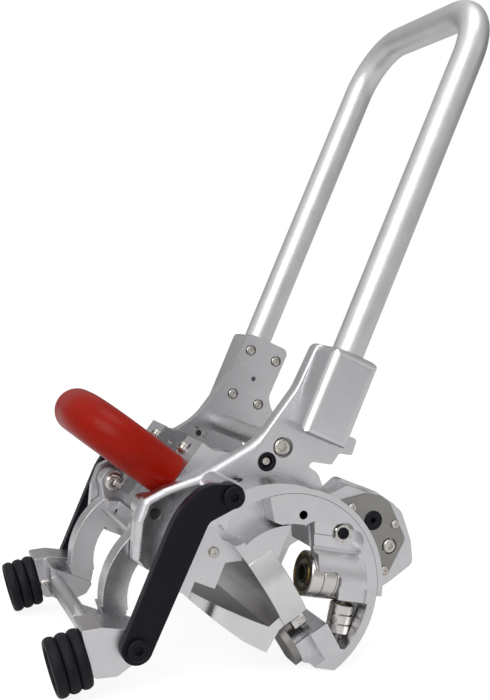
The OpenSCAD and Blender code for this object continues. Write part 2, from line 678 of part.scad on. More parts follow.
module buffer() buffer_place() rotate_extrude() polygon(buffer_profile());
function buffer_profile() = concat(
    [[4, 0], [buffer_d / 2 - 2.5, 0]],
    [for (i = [0:2]) each [for (a = [-70:28:70])
        [buffer_d / 2 - 2.5 + 2.5 * cos(a), rib * (i + 0.5) + rib * 0.46 * sin(a)]]],
    [[buffer_d / 2 - 2.5, buffer_l], [buffer_d / 2 - 6, buffer_l], [buffer_d / 2 - 7, buffer_l - 2], [4, buffer_l - 2]]);
module buffer_front() color(rubber) placed() buffer();
module buffer_rear() color(rubber) placed() rear_side() buffer();
module buffer_screws() color(dark_steel) placed() both_sides() buffer_place() cylinder(r = 3.95, h = buffer_l - 3);
module link_outline() union() {
    at_plane(link_top) circle(r = link_eye_r);
    at_plane(link_low) circle(r = link_w / 2);
    polygon(rounded([
        [-65.9, 62.1, 0], [-84, 55.5, 22], [-97, 33, 60], [link_low[0] + 0.3 - link_w / 2, link_low[1], 0],
        [link_low[0] - 0.1 + link_w / 2, link_low[1], 0], [-71.2, 31, 8], [-55.8, 47.8, 0], [-62, 54, 0]], 10));
}
module link_bar() difference() {
    slab(link_in, link_out) link_outline();
    round_bar(link_low, 4.95, link_in - 1, link_out + 1);
    round_bar(link_top, 5.3, link_in - 1, link_out + 1);
}
module link_front() color(black) placed() link_bar();
module link_rear() color(black) placed() rear_side() link_bar();

u_handle();
socket_front();
socket_rear();
socket_screws();
side_plate_front();
side_plate_rear();
upper_tie_rod();
tie_rod_screws();
lower_tie_rod();
lower_rod_screws();
frame_grommets();
grommet_screws();
cover_body_front();
cover_body_rear();
cover_plate_front();
cover_plate_rear();
cover_screws();
cover_bushes();
fixed_block_front();
fixed_block_rear();
block_studs();
block_nuts();
running_axles();
running_rollers_front();
running_rollers_rear();
side_roller_pins();
side_rollers_front();
side_rollers_rear();
jaw_cheeks();
jaw_pins();
jaw_roller_front();
jaw_roller_rear();
bar_bracket_front();
bar_bracket_rear();
red_bar();
bracket_screws();
gate_rotor_front();
gate_rotor_rear();
upper_guide_fin();
lower_guide_fin();
fin_screws();
rotor_pins();
arm_front();
arm_rear();
arm_yoke();
arm_pivot_screws();
yoke_screws();
carrier_front();
carrier_rear();
carrier_bar();
carrier_screws();
carrier_pins();
buffer_front();
buffer_rear();
buffer_screws();
link_front();
link_rear();
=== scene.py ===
import json
import math

import bmesh
import bpy
import numpy as np
from mathutils import Matrix, Vector
from mathutils.bvhtree import BVHTree

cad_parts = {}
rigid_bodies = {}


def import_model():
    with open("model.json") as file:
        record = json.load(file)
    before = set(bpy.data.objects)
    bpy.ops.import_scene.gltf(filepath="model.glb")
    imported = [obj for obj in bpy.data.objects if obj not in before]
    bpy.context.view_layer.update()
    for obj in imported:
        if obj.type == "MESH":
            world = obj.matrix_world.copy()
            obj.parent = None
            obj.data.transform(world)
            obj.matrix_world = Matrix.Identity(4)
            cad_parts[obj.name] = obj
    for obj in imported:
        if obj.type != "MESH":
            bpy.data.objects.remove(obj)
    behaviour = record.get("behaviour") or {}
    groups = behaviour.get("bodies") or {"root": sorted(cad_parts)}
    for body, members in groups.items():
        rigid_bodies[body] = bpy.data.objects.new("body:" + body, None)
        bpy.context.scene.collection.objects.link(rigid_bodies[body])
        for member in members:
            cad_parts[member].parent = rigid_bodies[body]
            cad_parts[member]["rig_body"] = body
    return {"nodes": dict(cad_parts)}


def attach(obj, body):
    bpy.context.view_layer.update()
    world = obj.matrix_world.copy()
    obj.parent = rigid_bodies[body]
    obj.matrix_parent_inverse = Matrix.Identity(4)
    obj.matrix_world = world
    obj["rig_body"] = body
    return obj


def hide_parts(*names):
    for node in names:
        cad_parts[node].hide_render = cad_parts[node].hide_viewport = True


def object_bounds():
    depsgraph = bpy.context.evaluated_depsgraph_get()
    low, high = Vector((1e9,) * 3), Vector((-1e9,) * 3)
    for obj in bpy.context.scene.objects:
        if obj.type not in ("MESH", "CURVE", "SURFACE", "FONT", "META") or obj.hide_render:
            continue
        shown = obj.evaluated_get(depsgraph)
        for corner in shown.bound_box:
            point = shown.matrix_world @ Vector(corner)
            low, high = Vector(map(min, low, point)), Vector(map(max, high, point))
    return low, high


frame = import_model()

scene = bpy.context.scene
cad_low, cad_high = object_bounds()
MM = 0.001

# Camera. It stands before the trolley and to its left, a little above the sockets, and looks almost level
# at it. It was solved on the handle's edges, the upper tie rod, a grommet and the buffers, with no shift.
# The image points are where the real one's features lie in the photograph.
IMAGE_W, IMAGE_H = 490, 700
IMAGE_POINTS = {
    "left_edge": (4, 580),
    "right_edge": (489, 60),
    "top_edge": (458, 1),
    "bottom_edge": (70, 699),
    "tube_entry": (347, 353),
    "rod_screw": (284.7, 447.5),
    "grommet": (267.1, 461.2),
    "link_bolt_top": (231.5, 496.5),
    "link_bolt_low": (137, 649.7),
    "cover_bush": (371.2, 519.2),
    "cover_pin": (387.9, 545.3),
    "block_nut": (343.3, 534.1),
    "pin_hole": (303, 516),
    "front_buffer": (67.8, 661.4),
    "rear_buffer": (23.1, 581.6),
    "drum_set_screw": (236.7, 480.5),
    "plate_plug": (198.6, 433),
    "carrier_stud": (43.9, 583),
}
camera_place = Vector((-0.3297, -0.8263, 0.2477))
camera_aim = Vector((-0.0143, 0.0147, 0.1907))
camera_roll = math.radians(0.50)
lens_per_sensor = 1.5

camera = bpy.data.objects.new("camera", bpy.data.cameras.new("camera"))
scene.collection.objects.link(camera)
scene.camera = camera
camera.data.sensor_fit = "AUTO"
camera.data.sensor_width = 36.0
camera.data.lens = lens_per_sensor * camera.data.sensor_width
camera.data.clip_start = 0.05
camera.data.clip_end = 30.0
camera.location = camera_place
turn = (camera_aim - camera_place).to_track_quat("-Z", "Y").to_matrix()
camera.rotation_euler = (turn @ Matrix.Rotation(camera_roll, 3, "Z")).to_euler()
bpy.context.view_layer.update()


# Floor and light. The trolley stands on a white sheet in a plain studio. Large soft lamps light it from
# the left, from above and faintly from the right; what the metal mirrors besides them is a grey room that
# is lightest on the upper left and darkest low behind. The camera sees the room as white.
room_low, room_high = 0.03, 1.02
room_way = (-0.42, -0.32, 0.85)
sheet_glow, sheet_white = 1.22, 0.72
mirrored_white = 0.20
lamp_aim = Vector((0, 0, 0.1))

bpy.ops.mesh.primitive_plane_add(size=14, location=(0, 0, cad_low.z - 0.0004))
floor = bpy.context.object
floor.name = "floor"
sheet = bpy.data.materials.new("floor_sheet")
sheet.use_nodes = True
nodes, links = sheet.node_tree.nodes, sheet.node_tree.links
nodes["Principled BSDF"].inputs["Base Color"].default_value = (0.80, 0.80, 0.80, 1)
nodes["Principled BSDF"].inputs["Roughness"].default_value = 0.9
nodes["Principled BSDF"].inputs["Specular IOR Level"].default_value = 0.0
glow = nodes.new("ShaderNodeEmission")
glow.inputs["Strength"].default_value = sheet_glow
ray = nodes.new("ShaderNodeLightPath")
share = nodes.new("ShaderNodeMath")
share.operation = "MULTIPLY"
share.inputs[1].default_value = sheet_white
merge = nodes.new("ShaderNodeMixShader")
links.new(ray.outputs["Is Camera Ray"], share.inputs[0])
links.new(share.outputs[0], merge.inputs[0])
links.new(nodes["Principled BSDF"].outputs[0], merge.inputs[1])
links.new(glow.outputs[0], merge.inputs[2])
links.new(merge.outputs[0], nodes["Material Output"].inputs["Surface"])
floor.data.materials.append(sheet)

world = bpy.data.worlds.new("studio")
scene.world = world
world.use_nodes = True
nodes, links = world.node_tree.nodes, world.node_tree.links
place = nodes.new("ShaderNodeTexCoord")
facing = nodes.new("ShaderNodeVectorMath")
facing.operation = "DOT_PRODUCT"
facing.inputs[1].default_value = room_way
rise = nodes.new("ShaderNodeMapRange")
rise.inputs["From Min"].default_value = -0.3
rise.inputs["From Max"].default_value = 0.95
rise.inputs["To Min"].default_value = room_low
rise.inputs["To Max"].default_value = room_high
links.new(place.outputs["Generated"], facing.inputs[0])
links.new(facing.outputs["Value"], rise.inputs["Value"])
links.new(rise.outputs["Result"], nodes["Background"].inputs["Strength"])
nodes["Background"].inputs["Color"].default_value = (0.99, 0.99, 1.0, 1)
white = nodes.new("ShaderNodeBackground")
white.inputs["Color"].default_value = (1, 1, 1, 1)
ray = nodes.new("ShaderNodeLightPath")
seen = nodes.new("ShaderNodeMath")
seen.operation = "MAXIMUM"
merge = nodes.new("ShaderNodeMixShader")
mirrored = nodes.new("ShaderNodeMath")
mirrored.operation = "MULTIPLY_ADD"
mirrored.inputs[1].default_value = mirrored_white
links.new(ray.outputs["Is Camera Ray"], seen.inputs[0])
links.new(ray.outputs["Is Transmission Ray"], seen.inputs[1])
links.new(ray.outputs["Is Glossy Ray"], mirrored.inputs[0])
links.new(seen.outputs[0], mirrored.inputs[2])
links.new(mirrored.outputs[0], merge.inputs[0])
links.new(nodes["Background"].outputs[0], merge.inputs[1])
links.new(white.outputs[0], merge.inputs[2])
links.new(merge.outputs[0], nodes["World Output"].inputs["Surface"])

for name, spot, size, power in (
    ("key_lamp", (-1.2, -1.2, 1.2), 1.3, 16),
    ("side_lamp", (1.5, -1.2, 0.9), 0.8, 1),
    ("top_lamp", (0.1, -0.2, 1.9), 1.0, 7),
):
    lamp = bpy.data.lights.new(name, "AREA")
    lamp.size = size
    lamp.energy = power
    holder = bpy.data.objects.new(name, lamp)
    scene.collection.objects.link(holder)
    holder.location = spot
    holder.rotation_euler = (lamp_aim - Vector(spot)).to_track_quat("-Z", "Y").to_euler()
scene.view_settings.view_transform = "Standard"


def nodes_of(look):
    """The node tree of a material: its nodes, its links and its main shader."""
    tree = look.node_tree
    return tree.nodes, tree.links, tree.nodes["Principled BSDF"]


def clouds(look, scale, detail, low, high, stretch=(1, 1, 1)):
    """Noise on Object coordinates, drawn out by stretch and mapped to the range from low to high."""
    nodes, links, _ = nodes_of(look)
    place = nodes.new("ShaderNodeTexCoord")
    drawn = nodes.new("ShaderNodeMapping")
    drawn.inputs["Scale"].default_value = stretch
    noise = nodes.new("ShaderNodeTexNoise")
    noise.inputs["Scale"].default_value = scale
    noise.inputs["Detail"].default_value = detail
    span = nodes.new("ShaderNodeMapRange")
    span.inputs["From Min"].default_value = 0.3
    span.inputs["From Max"].default_value = 0.7
    span.inputs["To Min"].default_value = low
    span.inputs["To Max"].default_value = high
    links.new(place.outputs["Object"], drawn.inputs["Vector"])
    links.new(drawn.outputs["Vector"], noise.inputs["Vector"])
    links.new(noise.outputs["Fac"], span.inputs["Value"])
    return span.outputs["Result"]


def metal_look(name, colour, metallic, rough, grain, grain_size, stretch=(1, 1, 1), tone=0.05):
    """A finish whose tone and gloss drift slowly over the surface, with a fine grain in its bump."""
    look = bpy.data.materials.new(name)
    look.use_nodes = True
    nodes, links, shader = nodes_of(look)
    shader.inputs["Metallic"].default_value = metallic
    links.new(clouds(look, 22, 4, rough - 0.05, rough + 0.06), shader.inputs["Roughness"])
    shade = nodes.new("ShaderNodeMix")
    shade.data_type = "RGBA"
    shade.inputs["A"].default_value = (*(c * (1 - tone) for c in colour), 1)
    shade.inputs["B"].default_value = (*(min(1, c * (1 + tone)) for c in colour), 1)
    links.new(clouds(look, 60, 6, 0, 1), shade.inputs["Factor"])
    links.new(shade.outputs["Result"], shader.inputs["Base Color"])
    bump = nodes.new("ShaderNodeBump")
    bump.inputs["Strength"].default_value = grain
    bump.inputs["Distance"].default_value = 0.0003
    links.new(clouds(look, grain_size, 2, 0, 1, stretch), bump.inputs["Height"])
    links.new(bump.outputs["Normal"], shader.inputs["Normal"])
    return look


def hard_edges(body, angle):
    """Smooth faces, with every edge sharper than the angle kept hard."""
    for f in body.faces:
        f.smooth = True
    for e in body.edges:
        e.smooth = len(e.link_faces) == 2 and e.calc_face_angle(0) < math.radians(angle)


def merged(node):
    """A bmesh of the CAD node with its loose triangles merged into whole faces."""
    body = bmesh.new()
    body.from_mesh(frame["nodes"][node].data)
    bmesh.ops.remove_doubles(body, verts=body.verts, dist=2e-6)
    bmesh.ops.dissolve_limit(body, angle_limit=math.radians(0.5), verts=body.verts, edges=body.edges)
    return body


def bevel_on(piece, name, edge, steps, angle=28):
    """Breaks the piece's hard edges by a bevel of edge millimetres."""
    bevel = piece.modifiers.new(name, "BEVEL")
    bevel.width = edge * MM
    bevel.segments = steps
    bevel.limit_method = "ANGLE"
    bevel.angle_limit = math.radians(angle)
    return bevel


def machined(node, look, edge=0.45, steps=2, angle=28, soften=None, soft_edge=0.0):
    """The CAD node with its hard edges broken by a bevel of edge millimetres. Where soften is given, it
    turns the middles of the edges into each one's share of the wider soft_edge, which is rounded first."""
    body = merged(node)
    hard_edges(body, angle)
    if soften:
        weight = body.edges.layers.float.new("bevel_weight_edge")
        middles = np.array([(e.verts[0].co + e.verts[1].co) / 2 for e in body.edges])
        for e, part in zip(body.edges, soften(middles)):
            e[weight] = part * (not e.smooth)
    mesh = bpy.data.meshes.new(node + "_cut")
    body.to_mesh(mesh)
    body.free()
    mesh.materials.append(look)
    piece = bpy.data.objects.new(node + "_cut", mesh)
    scene.collection.objects.link(piece)
    if soften:
        round_over = bevel_on(piece, "round_over", soft_edge, 6)
        round_over.limit_method = "WEIGHT"
        round_over.use_clamp_overlap = False
    bevel_on(piece, "broken_edge", edge, steps, angle)
    flat = piece.modifiers.new("flat_faces", "WEIGHTED_NORMAL")
    flat.weight = 100
    flat.keep_sharp = True
    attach(piece, frame["nodes"][node]["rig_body"])
    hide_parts(node)
    return piece


blasted = metal_look("blasted_alloy", (0.60, 0.595, 0.61), 1.0, 0.28, 0.14, 1900, tone=0.03)
lean = math.radians(23.4478)
cable_axis = (45.117, -3.036)
left_outline = np.array([
    (-97, -20), (-101, -10), (-107, 8), (-108, 26), (-97, 38), (-74, 57), (-41, 98), (-28, 148), (-26, 187)])


def outer_left(middles):
    """The full width on the outer left edge of a plate, less of it beside the socket, and none elsewhere.
    Metres are turned back by the lean into the plate's own millimetres, where the left outline is x as a
    function of z."""
    x, z = middles[:, 0] / MM, middles[:, 2] / MM
    a = x * math.cos(lean) - z * math.sin(lean) + cable_axis[0]
    b = x * math.sin(lean) + z * math.cos(lean) + cable_axis[1]
    outer = np.abs(np.abs(middles[:, 1]) / MM - 82) < 0.2
    left = a < np.interp(b, left_outline[:, 1], left_outline[:, 0]) + 4
    return np.where(outer & left, np.interp(b, (95, 120), (1.0, 0.4)), 0.0)


for node, soft_edge in (("side_plate_front", 5.5), ("side_plate_rear", 3.0)):
    machined(node, blasted, edge=0.6, steps=2, soften=outer_left, soft_edge=soft_edge)
for node in ("upper_tie_rod", "lower_tie_rod", "cover_body_front", "cover_body_rear"):
    machined(node, blasted)


# Handle. One length of 25 mm aluminium tube, bent to a U with two 90 degree bends and satin anodised.
# Its two ends stand in the sockets, so its path starts and ends inside them.


def placed(x, d, z):
    """Side frame millimetres (x right, d towards the viewer, z up the legs) to the standing part's metres:
    the cable axis goes to the origin and the plane is turned by the lean."""
    a, b = np.asarray(x, float) - cable_axis[0], np.asarray(z, float) - cable_axis[1]
    a, d, b = np.broadcast_arrays(a, np.asarray(d, float), b)
    return MM * np.stack(
        [a * math.cos(lean) + b * math.sin(lean), -d, b * math.cos(lean) - a * math.sin(lean)], axis=-1)


def ring(n):
    """n angles evenly round a circle."""
    return np.arange(n) * 2 * math.pi / n


def skin(name, grids, look, node, angle=30, replace=True):
    """A piece made of closed grids. Each grid is (rows, columns, 3) points and wraps along its columns;
    one that is given with True wraps along its rows too. Neighbours in the grid make the quads, and a
    row that is a single point closes as a pole when the doubles are merged."""
    points, faces, tones, start = [], [], [], 0
    for grid, loops, *tone in grids:
        rows, columns = grid.shape[:2]
        index = start + np.arange(rows * columns).reshape(rows, columns)
        below = index if loops else index[:-1]
        above = np.roll(index, -1, 0) if loops else index[1:]
        quad = np.stack([below, np.roll(below, -1, 1), np.roll(above, -1, 1), above], axis=-1)
        points.append(grid.reshape(-1, 3))
        faces.append(quad.reshape(-1, 4))
        tones.append(np.repeat(tone[0] if tone else np.zeros(len(below), int), columns))
        start += rows * columns
    mesh = bpy.data.meshes.new(name)
    mesh.from_pydata(np.vstack(points), [], np.vstack(faces).tolist())
    mesh.polygons.foreach_set("material_index", np.concatenate(tones))
    body_mesh = bmesh.new()
    body_mesh.from_mesh(mesh)
    bmesh.ops.remove_doubles(body_mesh, verts=body_mesh.verts, dist=1e-7)
    bmesh.ops.recalc_face_normals(body_mesh, faces=body_mesh.faces)
    hard_edges(body_mesh, angle)
    body_mesh.to_mesh(mesh)
    body_mesh.free()
    for one in look if isinstance(look, list) else [look]:
        mesh.materials.append(one)
    piece = bpy.data.objects.new(name, mesh)
    scene.collection.objects.link(piece)
    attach(piece, frame["nodes"][node]["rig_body"])
    if replace:
        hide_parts(node)
    return piece


columns_round = 48


def bent_tube(path, side, outer, wall, columns=columns_round):
    """A tube with open ends. Every point of the path carries a circle spanned by the side direction and
    by side x tangent; the rows run down the outside and back up the bore, so the wall closes on itself."""
    along = np.gradient(path, axis=0)
    along /= np.linalg.norm(along, axis=1, keepdims=True)
    side = np.asarray(side, float)
    across = np.cross(side, along)
    angle = ring(columns)
    rim = np.cos(angle)[None, :, None] * side + np.sin(angle)[None, :, None] * across[:, None, :]
    shell = path[:, None, :] + outer * rim
    bore = (path[:, None, :] + (outer - wall) * rim)[::-1]
    return np.concatenate([shell, bore]), True


def u_path(foot, reach, span, bend, rows=28):
    """A U in the plane (across, up): up one leg, a quarter turn, across the top, and down the other leg."""
    half = span / 2
    quarter = np.linspace(0, math.pi / 2, rows)
    leg = np.linspace(foot, reach - bend, 12)[:-1]
    top = np.linspace(half - bend, bend - half, 8)[1:-1]
    across = np.concatenate([
        np.full(leg.shape, half), half - bend + bend * np.cos(quarter), top,
        -(half - bend) - bend * np.sin(quarter), np.full(leg.shape, -half)])
    up = np.concatenate([
        leg, reach - bend + bend * np.sin(quarter), np.full(top.shape, reach),
        reach - bend + bend * np.cos(quarter), leg[::-1]])
    return across, up


handle_d, handle_wall, handle_span, handle_bend = 25.0, 3.0, 193.0, 48.0
handle_x, handle_foot, handle_top = -6.0, 121.0, 489.0
across, up = u_path(handle_foot, handle_top, handle_span, handle_bend)
route = placed(handle_x, across, up)
side = placed(cable_axis[0] + 1, 0, cable_axis[1]) / MM
satin_tube = metal_look("satin_tube", (0.61, 0.615, 0.615), 1.0, 0.38, 0.15, 3000)
skin("handle_tube", [bent_tube(route, side, handle_d / 2 * MM, handle_wall * MM)], satin_tube, "u_handle")


# Screws. Button heads turned from stainless bar, with a six-lobed recess pressed into the head. The black
# cap screws on the links, the buffers' bolts and the drum's set screw have a hexagon recess instead.
def axes_of(way):
    """Two unit directions square to the way."""
    way = np.asarray(way, float) / np.linalg.norm(way)
    help_way = np.array([0, 0, 1.0]) if abs(way[2]) < 0.8 else np.array([1.0, 0, 0])
    first = np.cross(help_way, way)
    first /= np.linalg.norm(first)
    return first, np.cross(way, first), way


def turned(centre, way, profile, scale=None, columns=columns_round):
    """A turned form: each profile row (radius, height) in millimetres carries a circle about the way; the
    optional scale gives a factor on that radius for every row and angle, for recesses and flats."""
    first, second, way = axes_of(way)
    angle = ring(columns)
    radius = np.asarray(profile, float)[:, 0, None] * np.ones(columns)
    if scale is not None:
        radius = radius * scale
    height = np.asarray(profile, float)[:, 1, None, None]
    around = np.cos(angle)[None, :, None] * first + np.sin(angle)[None, :, None] * second
    return np.asarray(centre) + MM * (radius[..., None] * around + height * way)


def lobed(columns=columns_round):
    """Six lobes: the radius swells by 14 % six times round the circle."""
    return 1 + 0.14 * np.cos(6 * ring(columns))


def hexagon(columns=columns_round):
    """A hexagon of unit key width: half the width over the cosine of the angle from the nearest flat."""
    return 1 / np.cos((ring(columns) + math.pi / 6) % (math.pi / 3) - math.pi / 6)


def keyed(rows, low, high, key=1.0):
    """A radius factor for every row and angle: key times a hexagon on the rows from low to high, else 1."""
    plan = np.ones((rows, columns_round))
    plan[low:high] = hexagon() * key
    return plan


def button(centre, way, head, height, shank, length, recess, plan, crown=0.55):
    """A button head screw seated on the centre: recess floor, recess wall, crowned head, rim and shank.
    The crown falls as a quarter of an ellipse from the recess mouth to the rim."""
    fall = np.linspace(0, 1, 9)
    mouth = recess * 1.22
    dome_r = mouth + (head - mouth) * np.sin(fall * math.pi / 2)
    dome_h = height * (crown * np.cos(fall * math.pi / 2) + 1 - crown)
    rows = [(0, height * 0.35), (recess, height * 0.35), (recess, height * 0.96)]
    rows += list(zip(dome_r, dome_h))
    rows += [(head, height * 0.12), (head - 0.25, 0), (shank, 0)]
    rows += [(shank, -length + 0.5), (shank - 0.5, -length), (0, -length)]
    scale = np.ones((len(rows), len(plan)))
    scale[1:3] = plan
    return turned(centre, way, rows, scale), False


out_way = np.array([0, -1.0, 0])
stainless = metal_look("stainless", (0.56, 0.53, 0.49), 1.0, 0.20, 0.1, 3000)


def side_places(spots, level):
    """The spots of one side frame and their mirror images: (place, outward way) pairs."""
    return [(placed(x, s * level, z), s * out_way) for x, z in spots for s in (1, -1)]


def screws(name, places, head, height, shank, length, recess, plan, look, node):
    """One piece of like button screws, one at each (place, outward way)."""
    skin(name, [button(c, w, head, height, shank, length, recess, plan) for c, w in places], look, node)


# Sockets. Two milled aluminium blocks on the outer faces of the side plates, bored for the tube's ends and
# bead blasted like the plates. Four button screws from the plate's inner face hold each one.
for node in ("socket_front", "socket_rear"):
    machined(node, blasted, edge=0.8, steps=3)
socket_spots = [(-18, 173), (9, 173), (-18, 130), (9, 130)]
plate_in, plate_out = 70.0, 82.0
socket_places = [(placed(x, s * (plate_in + 3), z), -s * out_way) for x, z in socket_spots for s in (1, -1)]
screws("socket_screw_heads", socket_places, 4.2, 3, 2.55, 14, 2.0, lobed(), stainless, "socket_screws")

# Tie rod screws and grommets. A stainless button screw at each end holds the plates to the tie rods; the
# lower pair goes in through the end covers. A rubber grommet sits in each plate beside the upper rod, with
# a small screw in its middle.
rod_spot, low_rod_spot, grommet_spot = (-20, 101), (91, 61), (-28, 86)
screws("tie_rod_heads", side_places([rod_spot], plate_out - 5), 7.2, 5, 4, 16, 3.3, lobed(), stainless,
       "tie_rod_screws")
screws("lower_rod_heads", side_places([low_rod_spot], 94.5), 5.6, 4, 4, 30, 2.4, lobed(), stainless,
       "lower_rod_screws")
screws("grommet_heads", side_places([grommet_spot], plate_out - 4), 4.1, 3, 2.5, 8, 1.6, lobed(), stainless,
       "grommet_screws")
moulded = metal_look("moulded_rubber", (0.003, 0.003, 0.006), 0.0, 0.46, 0.3, 2600, tone=0.2)
nodes_of(moulded)[2].inputs["Specular IOR Level"].default_value = 0.2
ring_rows = [(4.2, -4), (7.5, -4), (7.5, 0.4), (6.9, 1.2), (5.0, 1.2), (4.2, 0.6)]
skin("grommet_rings", [(turned(c, w, ring_rows), True) for c, w in side_places([grommet_spot], plate_out)],
     moulded, "frame_grommets")

# End covers. Each milled cover body carries a brushed steel plate on its outer face, held by three small
# screws, and a black bush that stands through the plate in a seat of the body.
cover_sheet = metal_look("cover_sheet", (0.29, 0.28, 0.265), 0.95, 0.34, 0.3, 500, (1, 1, 26))
for node in ("cover_plate_front", "cover_plate_rear"):
    machined(node, cover_sheet, edge=0.25, steps=2)
cover_level, cover_plate_t, bush_spot = 94, 3, (69, 75)
cover_spots = [(47, 78.5), (88.3, 78.7), (94.5, 42)]
screws("cover_heads", side_places(cover_spots, cover_level + cover_plate_t), 3.3, 2.2, 2, 9, 1.3, lobed(),
       stainless, "cover_screws")
bush_rows = [(2.3, -6), (5.9, -6), (5.9, 0), (7.5, 0), (7.5, 3.6), (7.0, 4.0), (3.6, 4.0), (2.3, 3.2)]
skin("cover_bush_rings", [(turned(c, w, bush_rows), True) for c, w in side_places([bush_spot], cover_level)],
     moulded, "cover_bushes")

# Fixed blocks. They are milled and bead blasted. A black stud with a stainless hexagon nut stands in a
# pocket of each. A black lining stands in the pin hole beside it as painted shade, so the hole shows dark.
for node in ("fixed_block_front", "fixed_block_rear"):
    machined(node, blasted, edge=0.5, steps=2)
# Black steel for the studs, cap screws, links and set screw. The pin hole linings also use it, as painted
# shade.
black_steel_and_shade = metal_look("black_finish_and_shade", (0.004, 0.004, 0.008), 0.0, 0.40, 0.25, 3500, tone=0.15)
nodes_of(black_steel_and_shade)[2].inputs["Specular IOR Level"].default_value = 0.15
nut_rows = [(4.55, 7), (5.2, 7.0), (6.4, 7.0), (7.5, 6.3), (7.5, 2.0), (4.55, 2.0)]
nut_plan = keyed(6, 3, 5, key=math.cos(math.pi / 6))
face, nut_spot, pin_spot = 118.0, (38, 58), (0, 60)
nuts = [(turned(c, w, nut_rows, nut_plan), True) for c, w in side_places([nut_spot], face - 9)]
skin("block_nut_rings", nuts, stainless, "block_nuts")
# A black cup lining the pin hole: painted shade for the dark inside of the hole.
shade_liner_rows = [(0, -13.6), (3.1, -13.6), (3.1, -0.5), (3.35, -0.5), (3.35, -13.9), (0, -13.9)]
stud_rows = [(0, -22), (4.5, -22), (4.5, -1.1), (3.9, -0.5), (2.4, -0.5), (2.0, -1.5), (0, -1.5)]
skin("pin_hole_liners", [(turned(c, w, shade_liner_rows), True) for c, w in side_places([pin_spot], face)],
     black_steel_and_shade, "block_studs", replace=False)
skin("block_stud_ends", [(turned(c, w, stud_rows), False) for c, w in side_places([nut_spot], face)],
     black_steel_and_shade, "block_studs")

# Running gear. In each block three bearings run on one black axle over the cable, three smaller ones turn
# on a pin beside it, and one roller turns on a pin in the jaw, over a dark cheek. The bearings' rings are
# ground and their shields brassy.
dark_steel = metal_look("ground_steel", (0.30, 0.28, 0.27), 0.95, 0.30, 0.3, 700, (1, 1, 18), tone=0.1)
race_steel = metal_look("race_steel", (0.62, 0.59, 0.57), 1.0, 0.15, 0.1, 900, (1, 22, 1))
shield_brass = metal_look("shield_brass", (0.42, 0.33, 0.16), 1.0, 0.28, 0.1, 2000)
seal_black = metal_look("seal_black", (0.035, 0.032, 0.024), 0.6, 0.35, 0.2, 3000)
race_face = metal_look("race_face", (0.22, 0.20, 0.15), 1.0, 0.25, 0.2, 3000)


def bearing(outer, bore, width):
    """A deep groove bearing's section, closed on itself: inner ring, shield set back between the rings,
    chamfered outer ring, and the same back on the other side."""
    r, b, w = outer / 2, bore / 2, width / 2
    t = (r - b) * 0.2
    half = [(b, w), (b + t, w), (b + t, w - 0.7), (b + t * 1.5, w - 0.5)]
    half += [(r - t * 1.6, w - 0.5), (r - t, w - 0.8), (r - t, w), (r - 0.6, w), (r, w - 0.6)]
    return half + [(x, -y) for x, y in reversed(half)]


def bearing_set(name, centre, axis, outer, bore, width, pitch, node):
    """Three bearings side by side on one axis. The rings are ground, the shields and their grooves brassy."""
    places = [np.asarray(centre) + MM * i * pitch * np.asarray(axis) for i in (-1, 0, 1)]
    half = [3, 1, 1, 2, 1, 1, 3, 0]
    tones = half + [0] + half[::-1] + [0]
    skin(name, [(turned(p, axis, bearing(outer, bore, width)), True, tones) for p in places],
         [race_steel, shield_brass, seal_black, race_face], node)


def heading(x, d, z):
    """A direction of the side frame's plane as a unit direction of the standing part."""
    v = placed(cable_axis[0] + x, d, cable_axis[1] + z) / MM
    return v / np.linalg.norm(v)


sides = ((1, "front"), (-1, "rear"))
lift = math.radians(12)
running_spot, side_spot, jaw_reach = (44.267, 21.166), (71, -4.2), 39.8
running_d, side_d = 97, 100
for s, side_name in sides:
    centre = placed(running_spot[0], s * running_d, running_spot[1])
    bearing_set("running_set_" + side_name, centre, heading(math.cos(lift), 0, math.sin(lift)),
                35, 15.1, 10.7, 11, "running_rollers_" + side_name)
    centre = placed(side_spot[0], s * side_d, side_spot[1])
    bearing_set("side_set_" + side_name, centre, heading(-math.sin(lift), 0, math.cos(lift)),
                19, 6.1, 7.3, 7.6, "side_rollers_" + side_name)
fin_turn = math.radians(-35.6)
fin_up = heading(-math.sin(fin_turn), 0, math.cos(fin_turn))
jaw_rows = [(2.6, 1.5), (5.4, 1.5), (6.0, 1.9), (6.3, 2.6)]
jaw_rows += [(6.3, 12.4), (6.0, 13.1), (5.4, 13.5), (2.6, 13.5)]
for s, side_name in sides:
    centre = placed(jaw_reach * math.cos(fin_turn), s * side_d, jaw_reach * math.sin(fin_turn))
    skin("jaw_ring_" + side_name, [(turned(centre, fin_up, jaw_rows), True)], race_steel,
         "jaw_roller_" + side_name)
for node in ("jaw_cheeks", "jaw_pins", "side_roller_pins"):
    machined(node, dark_steel, edge=0.3)
sleeve_rows = [(0, 10), (5.8, 10), (5.8, -0.2), (6.2, -0.6), (7.5, -0.6), (7.5, 40), (0, 40)]
running_way = heading(math.cos(lift), 0, math.sin(lift))
sleeves = [turned(placed(running_spot[0], s * running_d, running_spot[1]) - MM * 17 * running_way,
                  running_way, sleeve_rows) for s in (1, -1)]
skin("axle_sleeves", [(rows, False) for rows in sleeves], seal_black, "running_axles")

